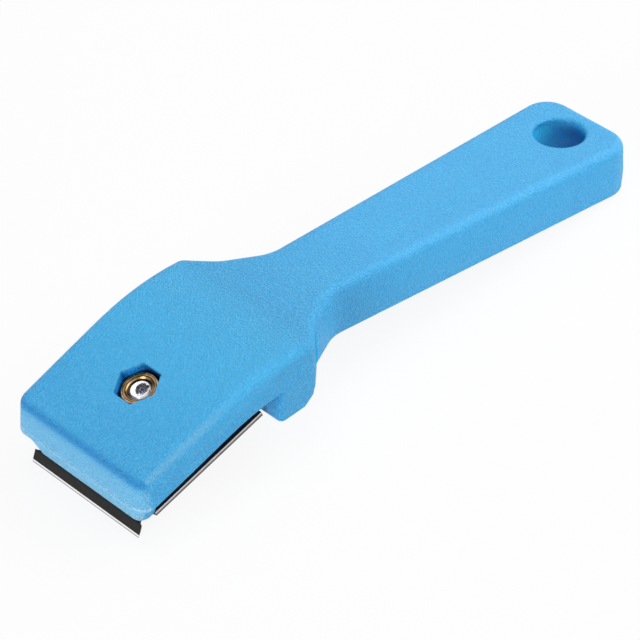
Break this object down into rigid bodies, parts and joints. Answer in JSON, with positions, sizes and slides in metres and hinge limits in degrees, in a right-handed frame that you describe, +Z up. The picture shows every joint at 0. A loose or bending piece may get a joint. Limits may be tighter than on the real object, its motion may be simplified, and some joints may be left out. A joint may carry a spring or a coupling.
{
  "type": "hand scraper",
  "caption": "Hand scraper with a pitched plastic head and grip in one moulding, and a bent steel blade held by a bolt and a sunk hexagon nut.",
  "frame": {"origin": "on the floor under the middle of the resting tool's bounding box", "axes": "+X from the blade towards the hanging end, +Y to the right of someone who looks from the hanging end to the blade, +Z up; the tool rests on its blade's edge and on the underside of the hanging end"},
  "size_m": [0.1748, 0.0494, 0.028],
  "materials": {
    "grip_plastic": "grained",
    "blade_steel": "blackened, edge ground bright",
    "zinc_steel": "zinc plated",
    "yellow_zinc": "yellow passivated zinc"
  },
  "bodies": {
    "grip": {"handle": "grip_plastic"},
    "blade": {"blade": "blade_steel"},
    "washer": {"flat_washer": "zinc_steel"},
    "bolt": {"clamp_bolt": "zinc_steel"},
    "nut": {"clamp_nut": "yellow_zinc"}
  },
  "joints": [
    {"name": "blade_off", "type": "slide", "parent": "grip", "child": "blade", "axis": [0.2336, 0, -0.9723], "range_m": [0, 0.02]},
    {"name": "bolt_draw", "type": "slide", "parent": "blade", "child": "washer", "axis": [0.2336, 0, -0.9723], "range_m": [0, 0.0005]},
    {"name": "bolt_turn", "type": "hinge", "parent": "washer", "child": "bolt", "pos_m": [-0.06234, 0, 0.00573], "axis": [0.2336, 0, -0.9723], "range_deg": [0, 180]},
    {"name": "nut_out", "type": "slide", "parent": "grip", "child": "nut", "axis": [-0.2336, 0, 0.9723], "range_m": [0, 0.008]}
  ],
  "couplings": [
    {"joint": "bolt_turn", "follows": "bolt_draw", "rad_per_m": 6283.2}
  ]
}
